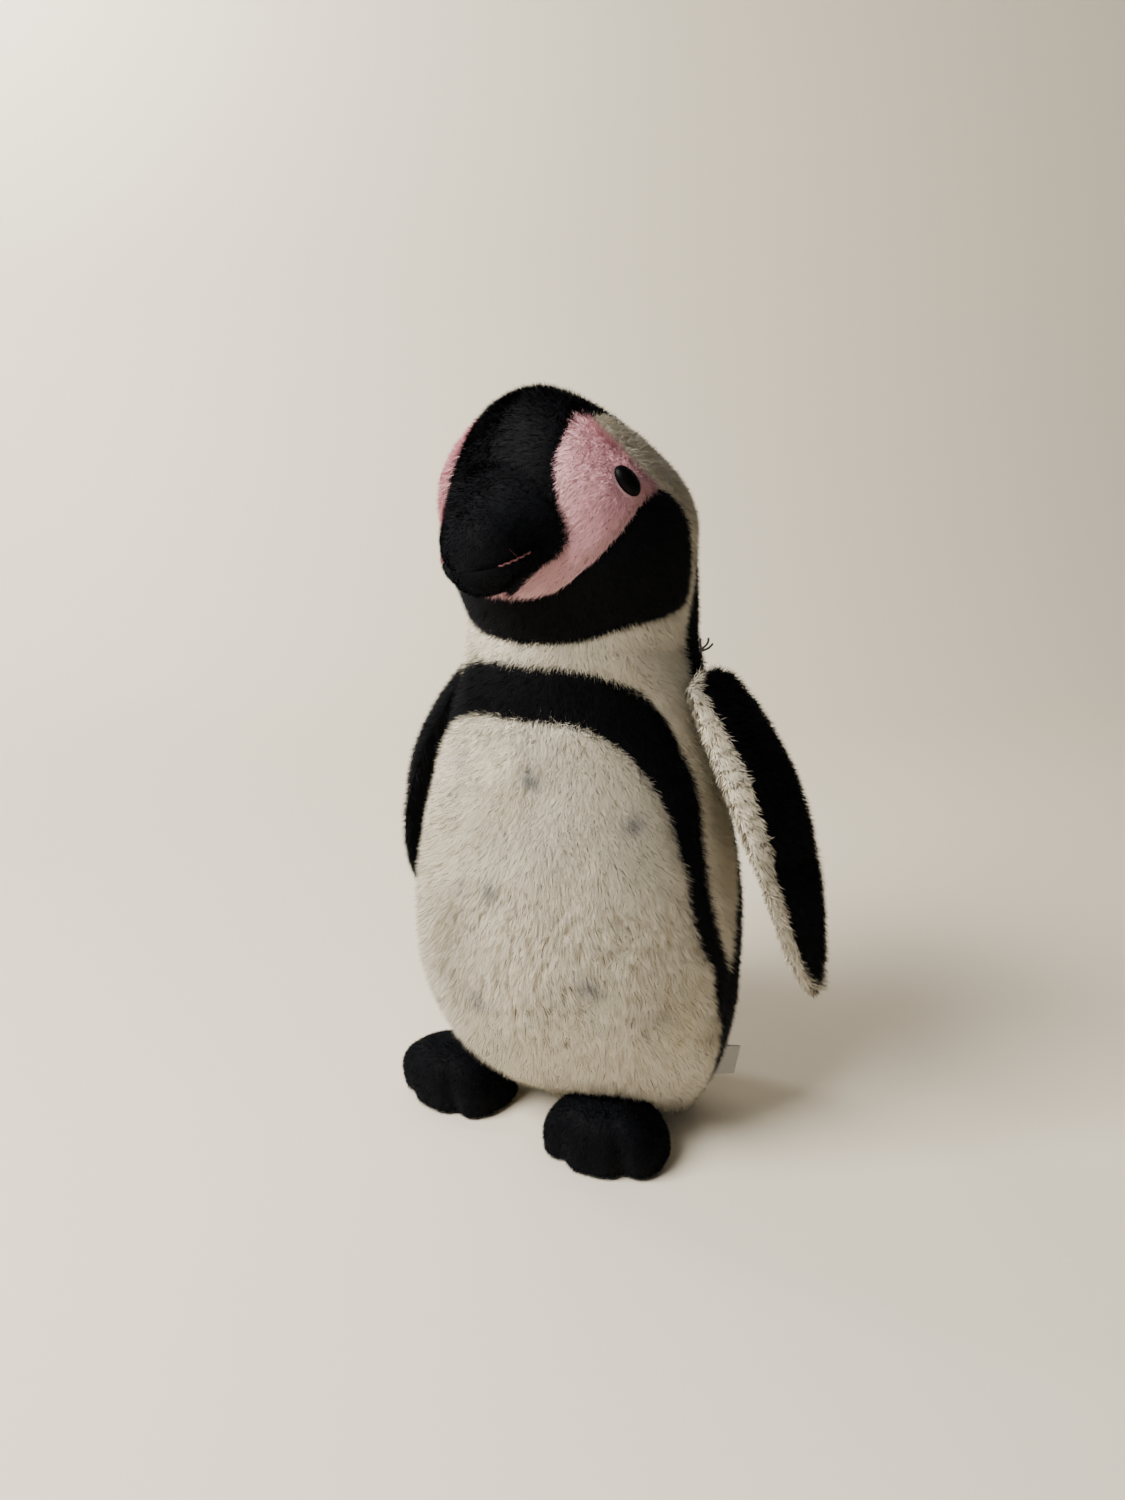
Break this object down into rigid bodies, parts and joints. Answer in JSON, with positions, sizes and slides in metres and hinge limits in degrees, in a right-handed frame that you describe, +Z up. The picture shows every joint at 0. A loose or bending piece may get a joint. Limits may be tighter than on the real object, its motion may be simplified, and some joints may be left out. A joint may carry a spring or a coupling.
{
  "type": "plush penguin",
  "caption": "Standing plush penguin in black, white and pink pile fabric, with a turning head, swinging wings and flexing feet.",
  "frame": {"origin": "on the floor, under the middle of the neck, on the flat base panel", "axes": "+Z up along the standing body, the beak points to -Y, the penguin's left is +X"},
  "size_m": [0.1858, 0.1271, 0.2835],
  "materials": {
    "black_plush": "matte",
    "white_plush": "matte",
    "pink_plush": "matte",
    "black_velour": "matte",
    "fibre_fill": "matte",
    "red_thread": "matte",
    "black_thread": "matte",
    "eye_plastic": "gloss",
    "washer_plastic": "matte",
    "ribbon": "satin",
    "bag_cloth": "matte"
  },
  "bodies": {
    "torso": {"left_belly_panel": "white_plush", "right_belly_panel": "white_plush", "chest_band": "black_plush", "left_flank_panel": "white_plush", "right_flank_panel": "white_plush", "left_back_panel": "black_plush", "right_back_panel": "black_plush", "base_panel": "white_plush", "body_stuffing": "fibre_fill", "pellet_bag": "bag_cloth", "closing_stitch": "black_thread", "label": "ribbon"},
    "head": {"crown_panel": "black_plush", "nape_panel": "black_plush", "left_cheek_panel": "pink_plush", "right_cheek_panel": "pink_plush", "left_brow_panel": "white_plush", "right_brow_panel": "white_plush", "left_jaw_panel": "black_plush", "right_jaw_panel": "black_plush", "beak_upper": "black_velour", "beak_lower": "black_velour", "beak_stuffing": "fibre_fill", "mouth_thread": "red_thread", "left_eye": "eye_plastic", "right_eye": "eye_plastic", "left_eye_washer": "washer_plastic", "right_eye_washer": "washer_plastic", "head_stuffing": "fibre_fill"},
    "left_wing": {"left_wing_outer": "black_plush", "left_wing_inner": "white_plush", "left_wing_stuffing": "fibre_fill", "left_wing_seam": "black_plush"},
    "right_wing": {"right_wing_outer": "black_plush", "right_wing_inner": "white_plush", "right_wing_stuffing": "fibre_fill", "right_wing_seam": "black_plush"},
    "left_foot": {"left_foot_upper": "black_velour", "left_foot_sole": "black_velour", "left_foot_stuffing": "fibre_fill", "left_foot_seam": "black_velour"},
    "right_foot": {"right_foot_upper": "black_velour", "right_foot_sole": "black_velour", "right_foot_stuffing": "fibre_fill", "right_foot_seam": "black_velour"}
  },
  "joints": [
    {"name": "head_turn", "type": "hinge", "parent": "torso", "child": "head", "pos_m": [0, 0, 0.195], "axis": [0, 0, 1], "range_deg": [-25, 25], "stiffness_Nm_per_rad": 0.12},
    {"name": "left_wing_swing", "type": "hinge", "parent": "torso", "child": "left_wing", "pos_m": [0.04772, 0.00842, 0.183], "axis": [0.2079, -0.9781, 0], "range_deg": [0, 70], "stiffness_Nm_per_rad": 0.09},
    {"name": "right_wing_swing", "type": "hinge", "parent": "torso", "child": "right_wing", "pos_m": [-0.04772, 0.00842, 0.183], "axis": [0.2079, 0.9781, 0], "range_deg": [0, 67], "stiffness_Nm_per_rad": 0.09},
    {"name": "left_foot_flex", "type": "hinge", "parent": "torso", "child": "left_foot", "pos_m": [0.028, -0.00751, 0.0052], "axis": [-0.9903, -0.1392, 0], "range_deg": [0, 6], "stiffness_Nm_per_rad": 0.05},
    {"name": "right_foot_flex", "type": "hinge", "parent": "torso", "child": "right_foot", "pos_m": [-0.038, -0.00303, 0.0052], "axis": [-0.9903, 0.1392, 0], "range_deg": [0, 6], "stiffness_Nm_per_rad": 0.05}
  ]
}
